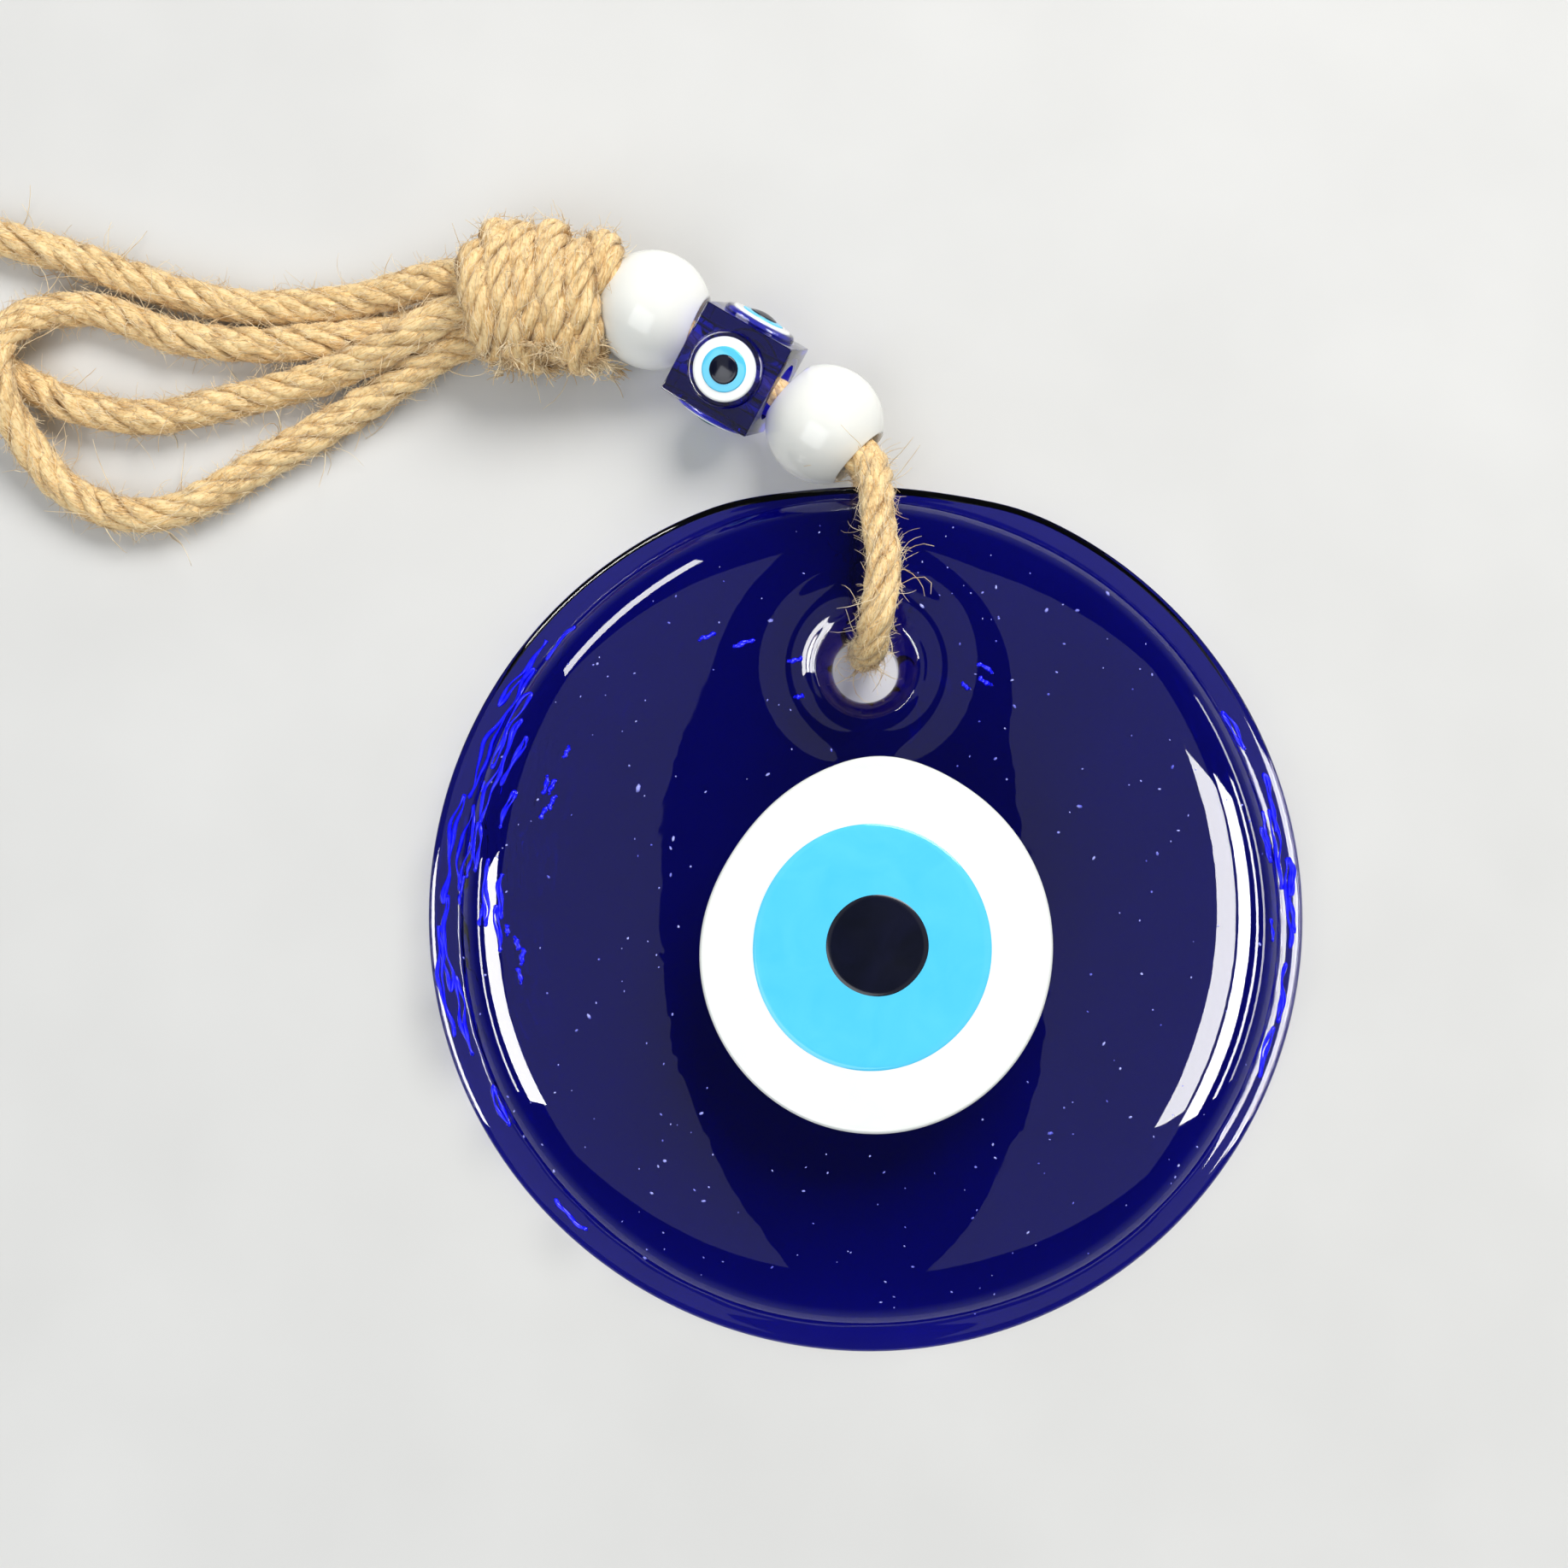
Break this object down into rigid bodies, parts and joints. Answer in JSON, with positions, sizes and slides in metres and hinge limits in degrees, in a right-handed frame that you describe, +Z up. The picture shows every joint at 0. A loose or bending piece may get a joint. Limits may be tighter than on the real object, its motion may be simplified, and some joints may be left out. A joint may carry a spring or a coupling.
{
  "type": "evil eye ornament",
  "caption": "Blue glass eye disc on a jute cord with two round white beads, a square glass bead, a wrapped knot and hanging loops.",
  "frame": {"origin": "on the surface the ornament lies on, under the middle of the box round its disc and beads", "axes": "+Z up out of the eye's face, +Y from the disc towards its beads, +X to the right seen from above"},
  "size_m": [0.1772, 0.135, 0.0191],
  "materials": {
    "navy_glass": "polished",
    "cobalt_glass": "polished",
    "white_glass": "polished",
    "bead_glass": "polished",
    "light_blue_glass": "polished",
    "black_glass": "polished",
    "jute": "fibrous"
  },
  "bodies": {
    "cord": {"knot_core": "jute", "knot_turn_1": "jute", "knot_turn_2": "jute", "knot_turn_3": "jute", "knot_turn_4": "jute", "knot_turn_5": "jute", "bead_cord_pair": "jute", "pendant_cord": "jute", "loop_long": "jute", "loop_short": "jute", "cord_tail_1": "jute", "cord_tail_2": "jute"},
    "disc": {"glass_disc": "navy_glass", "eye_white": "white_glass", "eye_iris": "light_blue_glass", "eye_pupil": "black_glass"},
    "upper_bead": {"bead_upper": "bead_glass"},
    "cube": {"cube_bead": "cobalt_glass", "cube_eye_white_1": "white_glass", "cube_eye_white_2": "white_glass", "cube_eye_white_3": "white_glass", "cube_eye_white_4": "white_glass", "cube_eye_blue_1": "light_blue_glass", "cube_eye_blue_2": "light_blue_glass", "cube_eye_blue_3": "light_blue_glass", "cube_eye_blue_4": "light_blue_glass", "cube_eye_black_1": "black_glass", "cube_eye_black_2": "black_glass", "cube_eye_black_3": "black_glass", "cube_eye_black_4": "black_glass"},
    "lower_bead": {"bead_lower": "bead_glass"}
  },
  "joints": [
    {"name": "disc_swing", "type": "hinge", "parent": "cord", "child": "disc", "pos_m": [0, 0.01378, 0.008], "axis": [0, 0, 1], "range_deg": [-8, 21]},
    {"name": "upper_bead_spin", "type": "hinge", "parent": "cord", "child": "upper_bead", "pos_m": [-0.0248, 0.05717, 0.007], "axis": [0.9135, -0.4067, 0], "continuous": true},
    {"name": "cube_bead_spin", "type": "hinge", "parent": "cord", "child": "cube", "pos_m": [-0.015, 0.04997, 0.0076], "axis": [0.8572, -0.515, 0], "continuous": true},
    {"name": "lower_bead_spin", "type": "hinge", "parent": "cord", "child": "lower_bead", "pos_m": [-0.0046, 0.04337, 0.007], "axis": [0.7071, -0.7071, 0], "continuous": true}
  ]
}
